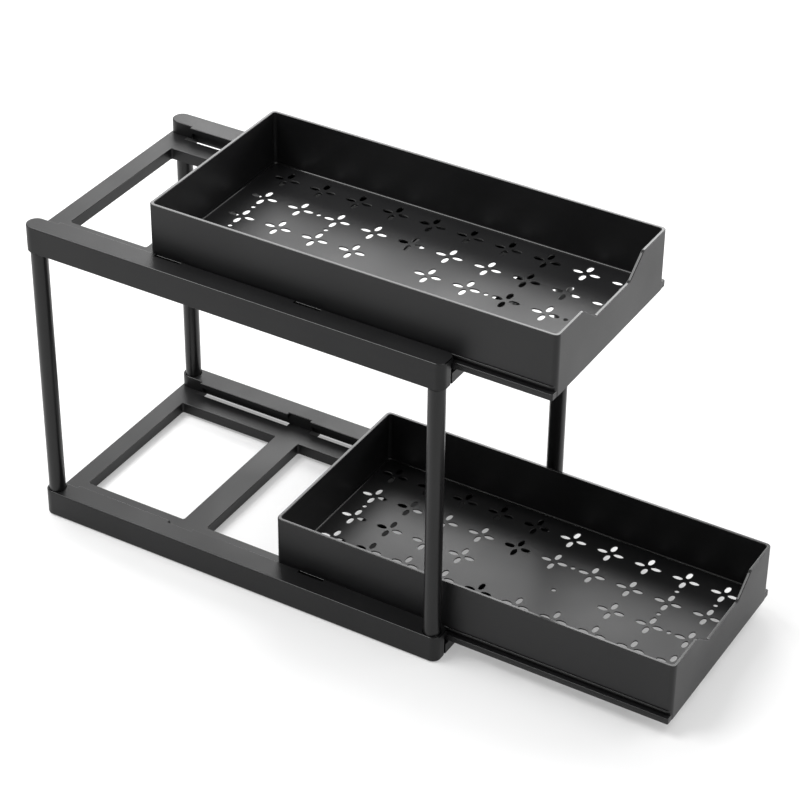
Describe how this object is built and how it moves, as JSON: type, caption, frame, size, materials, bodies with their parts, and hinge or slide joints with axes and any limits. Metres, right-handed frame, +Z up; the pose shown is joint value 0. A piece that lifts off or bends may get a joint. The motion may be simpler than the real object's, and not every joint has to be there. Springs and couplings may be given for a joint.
{
  "type": "under sink organizer",
  "caption": "Tiered cupboard organizer: moulded frames on tube posts, each carrying an open tray with petal holes that slides out on runners.",
  "frame": {"origin": "middle of the whole box under the feet, with the trays pulled out as stored", "axes": "+X the way the trays pull out, +Y across the width, +Z up"},
  "size_m": [0.602, 0.229, 0.3396],
  "materials": {
    "frame_plastic": "satin moulded",
    "tray_plastic": "satin moulded",
    "plug_plastic": "matte moulded",
    "post_metal": "satin powder coat",
    "foot_rubber": "matte"
  },
  "bodies": {
    "rack": {"lower_frame": "frame_plastic", "upper_frame": "frame_plastic", "post_rear_left": "post_metal", "bottom_plug_rear_left": "plug_plastic", "top_plug_rear_left": "plug_plastic", "foot_rear_left": "foot_rubber", "post_rear_right": "post_metal", "bottom_plug_rear_right": "plug_plastic", "top_plug_rear_right": "plug_plastic", "foot_rear_right": "foot_rubber", "post_front_left": "post_metal", "bottom_plug_front_left": "plug_plastic", "top_plug_front_left": "plug_plastic", "foot_front_left": "foot_rubber", "post_front_right": "post_metal", "bottom_plug_front_right": "plug_plastic", "top_plug_front_right": "plug_plastic", "foot_front_right": "foot_rubber"},
    "upper_tray": {"upper_tray": "tray_plastic"},
    "lower_tray": {"lower_tray": "tray_plastic"}
  },
  "joints": [
    {"name": "upper_tray_slide", "type": "slide", "parent": "rack", "child": "upper_tray", "axis": [1, 0, 0], "range_m": [-0.0855, 0.1235]},
    {"name": "lower_tray_slide", "type": "slide", "parent": "rack", "child": "lower_tray", "axis": [1, 0, 0], "range_m": [-0.202, 0.007]}
  ]
}
